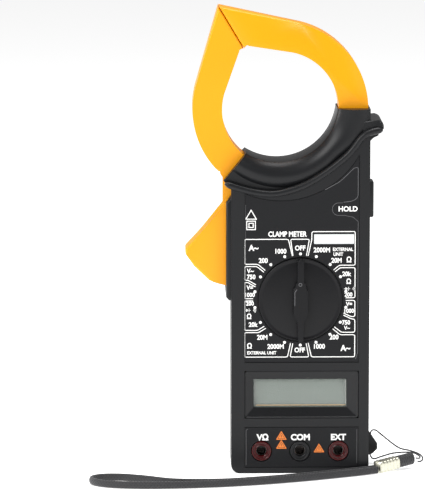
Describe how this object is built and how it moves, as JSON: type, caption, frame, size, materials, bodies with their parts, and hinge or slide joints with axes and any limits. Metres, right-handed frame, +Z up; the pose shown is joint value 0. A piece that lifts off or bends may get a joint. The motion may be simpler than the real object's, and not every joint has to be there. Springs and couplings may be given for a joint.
{
  "type": "clamp meter",
  "caption": "Hand-held digital clamp meter with an opening yellow jaw, rotary dial, display, input jacks and a braided wrist strap.",
  "frame": {"origin": "centre of the base the meter stands on", "axes": "+Z up along the case to the jaw, +X to the right seen from the dial side, -Y out of the dial side"},
  "size_m": [0.1662, 0.0718, 0.2306],
  "materials": {
    "battery": "printed metal can",
    "battery_door": "satin black moulded plastic",
    "battery_door_screw": "plated steel",
    "battery_lead_black": "rubber",
    "battery_lead_red": "red insulation",
    "battery_snap": "rubber",
    "buzzer": "satin black moulded plastic",
    "case_screw_1": "plated steel",
    "case_screw_2": "plated steel",
    "case_screw_3": "plated steel",
    "case_screw_4": "plated steel",
    "coil_lead_black": "rubber",
    "coil_lead_red": "red insulation",
    "converter_chip": "rubber",
    "detent_ball_left": "plated steel",
    "detent_ball_right": "plated steel",
    "detent_spring_left": "plated steel",
    "detent_spring_right": "plated steel",
    "dial_contacts": "brass",
    "dial_knob": "satin black plastic",
    "dial_label": "printed film",
    "dial_rotor": "satin black moulded plastic",
    "fixed_jaw_coil": "enamelled copper winding",
    "fixed_jaw_core": "laminated iron",
    "fixed_jaw_front_shell": "yellow moulded plastic",
    "fixed_jaw_rear_shell": "yellow moulded plastic",
    "front_case": "satin black moulded plastic",
    "hold_button": "satin black moulded plastic",
    "hold_plunger": "printed film",
    "hold_switch": "printed metal can",
    "input_resistor": "printed metal can",
    "jack_com": "satin black moulded plastic",
    "jack_com_sleeve": "brass",
    "jack_ext": "dark red plastic",
    "jack_ext_sleeve": "brass",
    "jack_label": "printed film",
    "jack_v": "dark red plastic",
    "jack_v_sleeve": "brass",
    "jaw_pivot_pin": "plated steel",
    "jaw_spring": "plated steel",
    "lcd_bezel": "satin black moulded plastic",
    "lcd_glass": "grey-green display",
    "lcd_strip": "rubber",
    "lcd_window": "clear plastic",
    "main_board": "green circuit board",
    "moving_jaw_core": "laminated iron",
    "moving_jaw_front_shell": "yellow moulded plastic",
    "moving_jaw_rear_shell": "yellow moulded plastic",
    "ptc_thermistor": "red insulation",
    "rear_case": "satin black moulded plastic",
    "spark_gap": "brass",
    "strap_braid": "black braid",
    "strap_crimp": "cream ribbed ferrule",
    "strap_string": "black braid",
    "strap_tail": "black braid",
    "trigger_screw": "plated steel",
    "trimmer": "red insulation"
  },
  "bodies": {
    "case": {"battery": "battery", "battery_lead_black": "battery_lead_black", "battery_lead_red": "battery_lead_red", "battery_snap": "battery_snap", "buzzer": "buzzer", "case_screw_1": "case_screw_1", "case_screw_2": "case_screw_2", "case_screw_3": "case_screw_3", "case_screw_4": "case_screw_4", "coil_lead_black": "coil_lead_black", "coil_lead_red": "coil_lead_red", "converter_chip": "converter_chip", "dial_label": "dial_label", "fixed_jaw_coil": "fixed_jaw_coil", "fixed_jaw_core": "fixed_jaw_core", "fixed_jaw_front_shell": "fixed_jaw_front_shell", "fixed_jaw_rear_shell": "fixed_jaw_rear_shell", "front_case": "front_case", "hold_switch": "hold_switch", "input_resistor": "input_resistor", "jack_com": "jack_com", "jack_com_sleeve": "jack_com_sleeve", "jack_ext": "jack_ext", "jack_ext_sleeve": "jack_ext_sleeve", "jack_label": "jack_label", "jack_v": "jack_v", "jack_v_sleeve": "jack_v_sleeve", "jaw_pivot_pin": "jaw_pivot_pin", "jaw_spring": "jaw_spring", "lcd_bezel": "lcd_bezel", "lcd_glass": "lcd_glass", "lcd_strip": "lcd_strip", "lcd_window": "lcd_window", "main_board": "main_board", "ptc_thermistor": "ptc_thermistor", "rear_case": "rear_case", "spark_gap": "spark_gap", "strap_braid": "strap_braid", "strap_crimp": "strap_crimp", "strap_string": "strap_string", "strap_tail": "strap_tail", "trimmer": "trimmer"},
    "moving_jaw": {"moving_jaw_front_shell": "moving_jaw_front_shell", "moving_jaw_rear_shell": "moving_jaw_rear_shell", "moving_jaw_core": "moving_jaw_core", "trigger_screw": "trigger_screw"},
    "dial": {"dial_knob": "dial_knob", "dial_rotor": "dial_rotor", "dial_contacts": "dial_contacts", "detent_ball_left": "detent_ball_left", "detent_ball_right": "detent_ball_right", "detent_spring_left": "detent_spring_left", "detent_spring_right": "detent_spring_right"},
    "hold_button": {"hold_button": "hold_button", "hold_plunger": "hold_plunger"},
    "battery_door": {"battery_door": "battery_door", "battery_door_screw": "battery_door_screw"}
  },
  "joints": [
    {"name": "jaw_open", "type": "hinge", "parent": "case", "child": "moving_jaw", "pos_m": [-0.0278, 0, 0.137], "axis": [0, -1, 0], "range_deg": [0, 31], "stiffness_Nm_per_rad": 0.6, "springref_deg": -57.3, "deforming": ["jaw_spring"]},
    {"name": "dial_turn", "type": "hinge", "parent": "case", "child": "dial", "pos_m": [0, 0, 0.087], "axis": [0, -1, 0], "continuous": true},
    {"name": "hold_press", "type": "slide", "parent": "case", "child": "hold_button", "axis": [-1, 0, 0], "range_m": [0, 0.0015], "stiffness_N_per_m": 200, "springref_m": -0.001},
    {"name": "battery_door_off", "type": "slide", "parent": "case", "child": "battery_door", "axis": [0, 1, 0], "range_m": [0, 0.03]}
  ]
}
